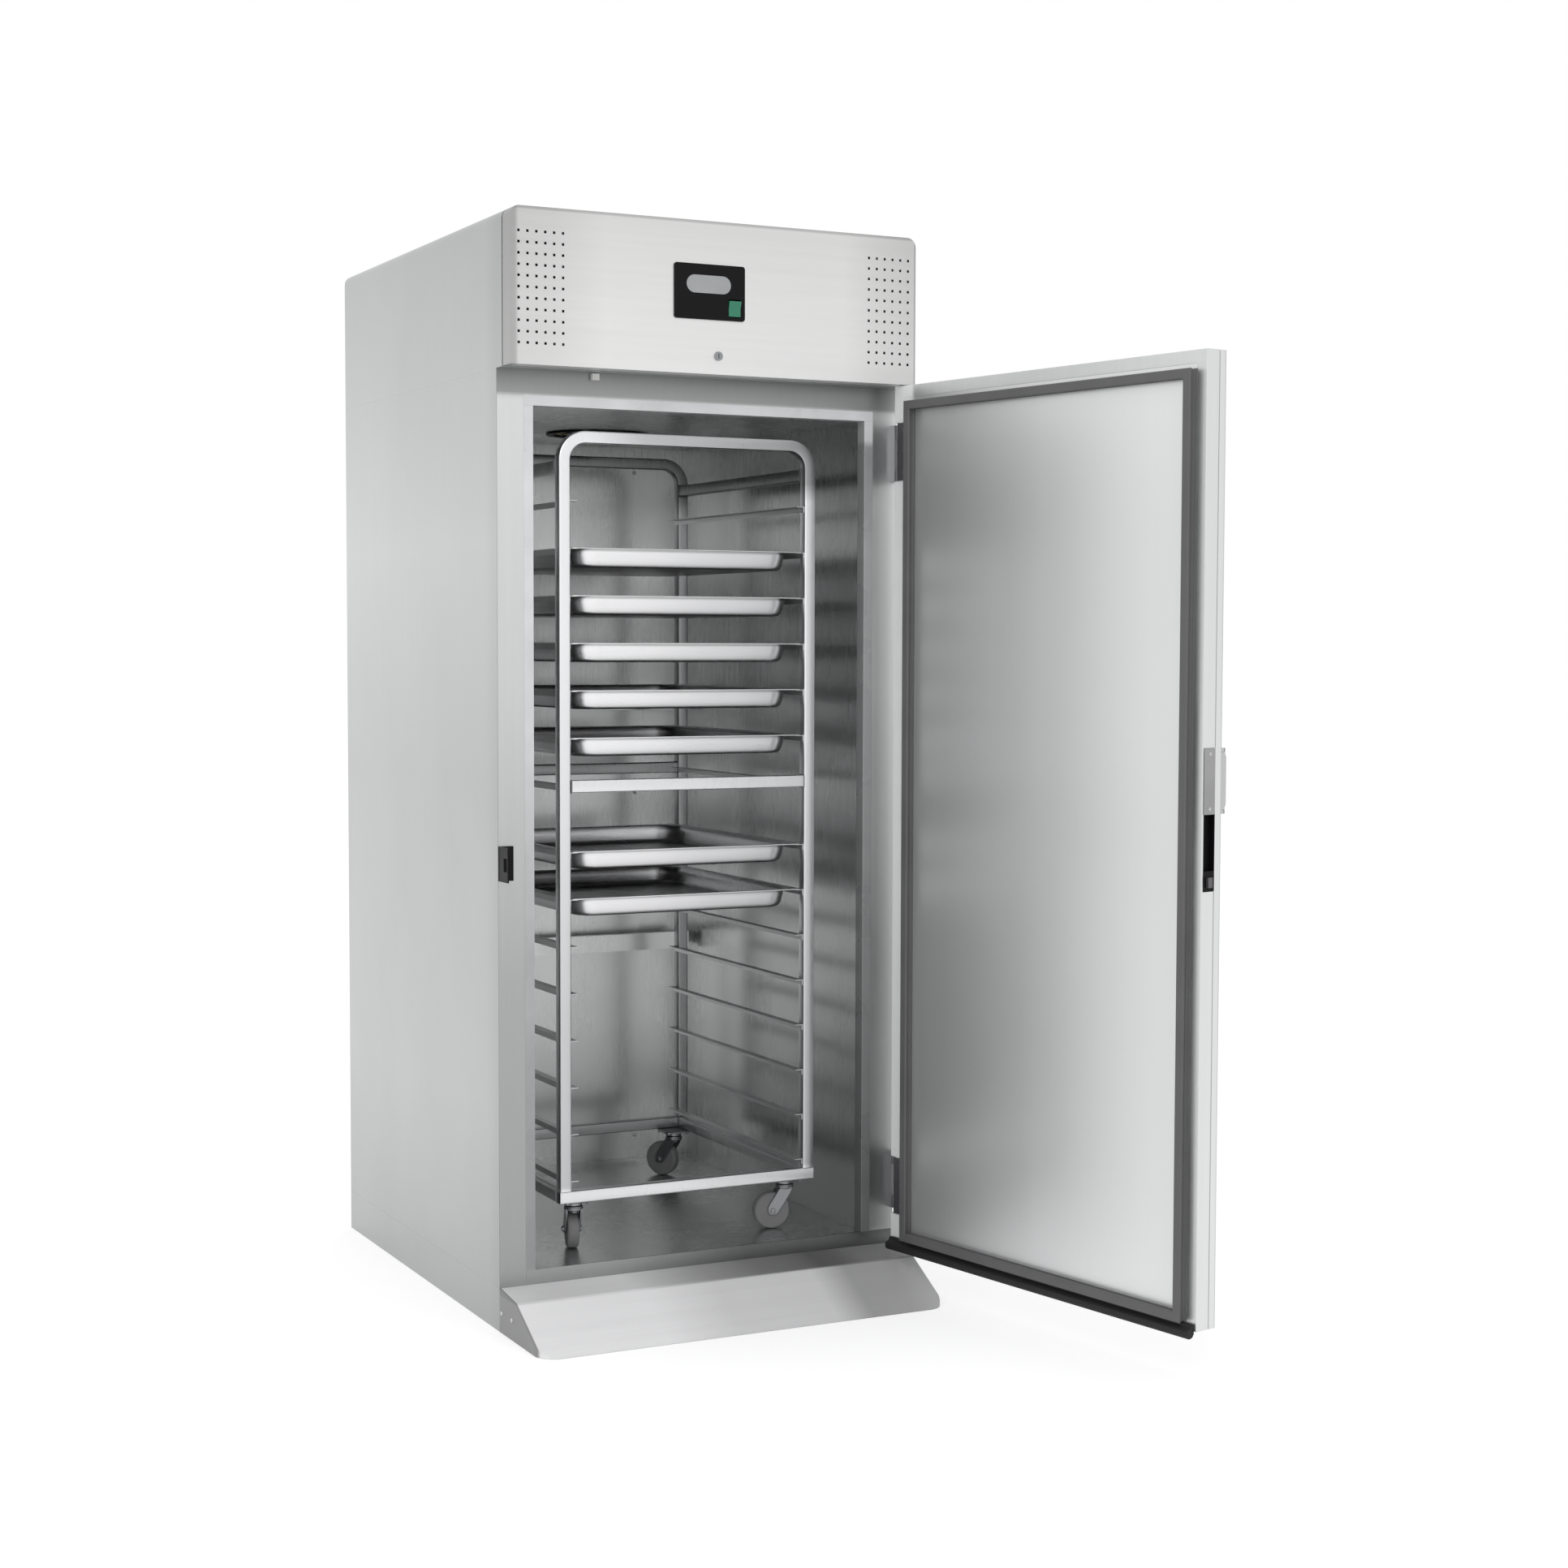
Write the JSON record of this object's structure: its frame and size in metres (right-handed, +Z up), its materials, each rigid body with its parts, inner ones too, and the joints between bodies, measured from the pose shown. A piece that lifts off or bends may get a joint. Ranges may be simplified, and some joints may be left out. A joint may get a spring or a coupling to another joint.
{
  "type": "roll-in upright freezer",
  "caption": "Stainless roll-in upright freezer with an open door, entry ramp, machine housing with hinged fascia and a tray trolley on castors inside.",
  "frame": {"origin": "on the floor, under the middle of the cabinet's footprint", "axes": "+Z up, +X to the right of a person who faces the door, +Y to the back"},
  "size_m": [1.0956, 1.9515, 2.226],
  "materials": {
    "stainless": "satin",
    "lining": "gloss",
    "frame_steel": "satin",
    "tray_steel": "gloss",
    "white_strip": "satin",
    "foam": "matte",
    "dark_plastic": "satin",
    "grey_gasket": "matte",
    "black_rubber": "matte",
    "dark_steel": "satin",
    "box_white": "satin",
    "coil_fins": "satin",
    "fan_plastic": "satin",
    "copper": "satin",
    "sensor_plastic": "satin",
    "handle_metal": "satin",
    "bolt_steel": "satin",
    "display": "gloss",
    "rocker_green": "gloss",
    "lock_chrome": "polished",
    "castor_steel": "satin",
    "castor_tyre": "matte",
    "screw_steel": "satin"
  },
  "bodies": {
    "cabinet": {"base_tray": "stainless", "outer_side_left": "stainless", "outer_side_right": "stainless", "outer_back": "stainless", "insulation": "foam", "liner_panels": "lining", "front_frame": "frame_steel", "breaker_strip": "white_strip", "entry_ramp": "frame_steel", "housing_shell": "stainless", "rear_grille": "stainless", "air_duct_panel": "lining", "rear_buffers": "lining", "compressor": "dark_steel", "condenser_coil": "coil_fins", "condenser_shroud": "dark_steel", "refrigerant_pipes": "copper", "evaporator_coil": "coil_fins", "evaporator_box": "box_white", "evaporator_fan_mount": "dark_plastic", "condensate_tray": "dark_plastic", "electrical_box": "dark_plastic", "cable_gland": "dark_plastic", "door_striker": "dark_plastic", "hinge_brackets": "dark_steel", "door_sensor": "sensor_plastic", "cabinet_screws": "screw_steel"},
    "door": {"door_skin": "stainless", "door_liner": "stainless", "door_core": "foam", "door_gasket": "grey_gasket", "bottom_sweep": "black_rubber", "latch_housing": "dark_plastic", "hinge_leaves": "dark_steel"},
    "door_handle": {"door_handle": "handle_metal"},
    "latch_bolt": {"latch_bolt": "bolt_steel"},
    "fascia": {"fascia_panel": "frame_steel", "controller_bezel": "dark_plastic", "display_window": "display"},
    "power_rocker": {"power_rocker": "rocker_green"},
    "key_lock": {"key_lock": "lock_chrome"},
    "condenser_fan": {"condenser_fan": "fan_plastic"},
    "evaporator_fan": {"evaporator_fan": "fan_plastic"},
    "trolley": {"trolley_frame": "frame_steel", "tray_runners": "frame_steel"},
    "castor_fork_fl": {"castor_fork_fl": "castor_steel"},
    "castor_wheel_fl": {"castor_wheel_fl": "castor_tyre"},
    "castor_fork_fr": {"castor_fork_fr": "castor_steel"},
    "castor_wheel_fr": {"castor_wheel_fr": "castor_tyre"},
    "castor_fork_rl": {"castor_fork_rl": "castor_steel"},
    "castor_wheel_rl": {"castor_wheel_rl": "castor_tyre"},
    "castor_fork_rr": {"castor_fork_rr": "castor_steel"},
    "castor_wheel_rr": {"castor_wheel_rr": "castor_tyre"},
    "tray_1": {"tray_1": "tray_steel"},
    "tray_2": {"tray_2": "tray_steel"},
    "tray_3": {"tray_3": "tray_steel"},
    "tray_4": {"tray_4": "tray_steel"},
    "tray_5": {"tray_5": "tray_steel"},
    "tray_6": {"tray_6": "tray_steel"},
    "tray_7": {"tray_7": "tray_steel"}
  },
  "joints": [
    {"name": "door_hinge", "type": "hinge", "parent": "cabinet", "child": "door", "pos_m": [0.445, -0.5535, 1], "axis": [0, 0, 1], "range_deg": [-100.6, 14.4]},
    {"name": "handle_pivot", "type": "hinge", "parent": "door", "child": "door_handle", "pos_m": [0.63329, -1.41557, 1.129], "axis": [0, 0, -1], "range_deg": [0, 20], "stiffness_Nm_per_rad": 2},
    {"name": "bolt_slide", "type": "slide", "parent": "door", "child": "latch_bolt", "axis": [-0.184, 0.9829, 0], "range_m": [0, 0.0061]},
    {"name": "fascia_hinge", "type": "hinge", "parent": "cabinet", "child": "fascia", "pos_m": [0, -0.546, 2.219], "axis": [-1, 0, 0], "range_deg": [0, 75]},
    {"name": "rocker_pivot", "type": "hinge", "parent": "fascia", "child": "power_rocker", "pos_m": [0.03, -0.584, 2.0545], "axis": [-1, 0, 0], "range_deg": [0, 18]},
    {"name": "lock_turn", "type": "hinge", "parent": "fascia", "child": "key_lock", "pos_m": [-0.005, -0.584, 1.958], "axis": [0, 1, 0], "range_deg": [0, 90]},
    {"name": "condenser_fan_spin", "type": "hinge", "parent": "cabinet", "child": "condenser_fan", "pos_m": [-0.255, -0.417, 2.0645], "axis": [0, -1, 0], "continuous": true},
    {"name": "evaporator_fan_spin", "type": "hinge", "parent": "cabinet", "child": "evaporator_fan", "pos_m": [0, 0.07, 1.89], "axis": [0, 0, -1], "continuous": true},
    {"name": "trolley_roll", "type": "slide", "parent": "cabinet", "child": "trolley", "axis": [0, -1, 0], "range_m": [-0.1, 0.04]},
    {"name": "castor_swivel_fl", "type": "hinge", "parent": "trolley", "child": "castor_fork_fl", "pos_m": [-0.245, -0.391, 0.208], "axis": [0, 0, 1], "continuous": true},
    {"name": "castor_axle_fl", "type": "hinge", "parent": "castor_fork_fl", "child": "castor_wheel_fl", "pos_m": [-0.23724, -0.36202, 0.1583], "axis": [0.9659, -0.2588, 0], "continuous": true},
    {"name": "castor_swivel_fr", "type": "hinge", "parent": "trolley", "child": "castor_fork_fr", "pos_m": [0.245, -0.391, 0.208], "axis": [0, 0, 1], "continuous": true},
    {"name": "castor_axle_fr", "type": "hinge", "parent": "castor_fork_fr", "child": "castor_wheel_fr", "pos_m": [0.21546, -0.38579, 0.1583], "axis": [0.1736, 0.9848, 0], "continuous": true},
    {"name": "castor_swivel_rl", "type": "hinge", "parent": "trolley", "child": "castor_fork_rl", "pos_m": [-0.245, 0.195, 0.208], "axis": [0, 0, 1], "continuous": true},
    {"name": "castor_axle_rl", "type": "hinge", "parent": "castor_fork_rl", "child": "castor_wheel_rl", "pos_m": [-0.26, 0.16902, 0.1583], "axis": [-0.866, 0.5, 0], "continuous": true},
    {"name": "castor_swivel_rr", "type": "hinge", "parent": "trolley", "child": "castor_fork_rr", "pos_m": [0.245, 0.195, 0.208], "axis": [0, 0, 1], "continuous": true},
    {"name": "castor_axle_rr", "type": "hinge", "parent": "castor_fork_rr", "child": "castor_wheel_rr", "pos_m": [0.22779, 0.21957, 0.1583], "axis": [0.8192, 0.5736, 0], "continuous": true},
    {"name": "tray_slide_1", "type": "slide", "parent": "trolley", "child": "tray_1", "axis": [0, -1, 0], "range_m": [0, 0.45]},
    {"name": "tray_slide_2", "type": "slide", "parent": "trolley", "child": "tray_2", "axis": [0, -1, 0], "range_m": [0, 0.45]},
    {"name": "tray_slide_3", "type": "slide", "parent": "trolley", "child": "tray_3", "axis": [0, -1, 0], "range_m": [0, 0.45]},
    {"name": "tray_slide_4", "type": "slide", "parent": "trolley", "child": "tray_4", "axis": [0, -1, 0], "range_m": [0, 0.45]},
    {"name": "tray_slide_5", "type": "slide", "parent": "trolley", "child": "tray_5", "axis": [0, -1, 0], "range_m": [0, 0.45]},
    {"name": "tray_slide_6", "type": "slide", "parent": "trolley", "child": "tray_6", "axis": [0, -1, 0], "range_m": [0, 0.45]},
    {"name": "tray_slide_7", "type": "slide", "parent": "trolley", "child": "tray_7", "axis": [0, -1, 0], "range_m": [0, 0.45]}
  ],
  "couplings": [
    {"joint": "bolt_slide", "follows": "handle_pivot", "m_per_rad": 0.01719}
  ]
}
